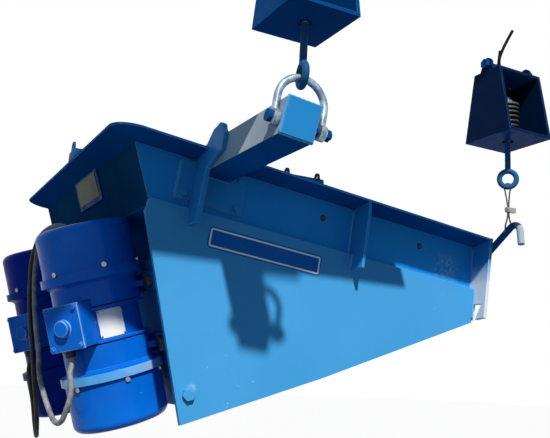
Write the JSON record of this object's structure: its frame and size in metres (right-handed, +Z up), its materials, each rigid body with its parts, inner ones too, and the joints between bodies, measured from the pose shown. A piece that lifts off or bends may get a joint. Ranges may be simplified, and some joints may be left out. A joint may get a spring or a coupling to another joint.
{
  "type": "linear vibratory feeder",
  "caption": "Suspended vibratory pan feeder with unbalanced-weight motors, wedge side frames, hanger arms and spring boxes.",
  "frame": {"origin": "centre line of the hanging hole, midway between the two ears of the near rear spring box", "axes": "+X the way material runs, +Y across the pan to the far side, +Z up; the pan slopes 6.9 degrees down towards +X"},
  "size_m": [1.3021, 1.916, 1.2043],
  "materials": {
    "pan_paint": "semi-gloss blue enamel, worn at the edges",
    "box_paint": "semi-gloss dark blue enamel",
    "motor_paint": "gloss royal blue enamel on castings",
    "zinc": "hot-dip galvanised",
    "steel": "machined and lightly oxidised",
    "spring_paint": "oiled spring steel",
    "iron": "primed grey",
    "black_rubber": "matt cable jacket"
  },
  "bodies": {
    "root": {"box_rear_near": "box_paint", "box_rear_far": "box_paint", "box_front_near": "box_paint", "box_front_far": "box_paint", "lifting_rope": "black_rubber", "rope_pin": "steel"},
    "trough": {"pan": "pan_paint", "rim": "pan_paint", "wall_ribs": "pan_paint", "outlet_flange": "pan_paint", "frame_near": "pan_paint", "frame_far": "pan_paint", "floor_ribs": "pan_paint", "drive_plate": "pan_paint", "drive_webs": "pan_paint", "cross_tubes": "pan_paint", "frame_bolts": "steel", "arm_near": "pan_paint", "arm_far": "pan_paint", "arm_caps": "pan_paint", "arm_gussets": "pan_paint", "arm_pads": "pan_paint", "shackles": "zinc", "shackle_pins": "zinc", "front_hooks": "pan_paint", "slings": "steel", "sling_clips": "zinc", "eye_rods": "pan_paint", "spring_seats": "steel", "rod_nuts": "steel", "spring_rear_near": "spring_paint", "spring_rear_far": "spring_paint", "spring_front_near": "spring_paint", "spring_front_far": "spring_paint", "motor_near": "motor_paint", "motor_far": "motor_paint", "stators": "steel", "bearings": "steel", "covers_near": "motor_paint", "covers_far": "motor_paint", "terminal_boxes": "motor_paint", "terminal_lids": "motor_paint", "junction_box": "motor_paint", "cable_glands": "black_rubber", "cable_near": "black_rubber", "cable_far": "black_rubber", "cover_screws": "steel", "foot_bolts": "steel"},
    "rotor_near": {"rotor_near": "steel", "weights_near": "iron"},
    "rotor_far": {"rotor_far": "steel", "weights_far": "iron"}
  },
  "joints": [
    {"name": "bounce", "type": "slide", "parent": "root", "child": "trough", "axis": [0, 0, 1], "range_m": [-0.01, 0.01], "stiffness_N_per_m": 149280, "springref_m": 0.035, "deforming": ["spring_rear_near", "spring_rear_far", "spring_front_near", "spring_front_far"]},
    {"name": "spin_near", "type": "hinge", "parent": "trough", "child": "rotor_near", "pos_m": [-0.19232, 0.615, -0.82003], "axis": [-0.3016, 0, 0.9534], "continuous": true},
    {"name": "spin_far", "type": "hinge", "parent": "trough", "child": "rotor_far", "pos_m": [-0.19232, 1.125, -0.82003], "axis": [-0.3016, 0, 0.9534], "continuous": true}
  ]
}
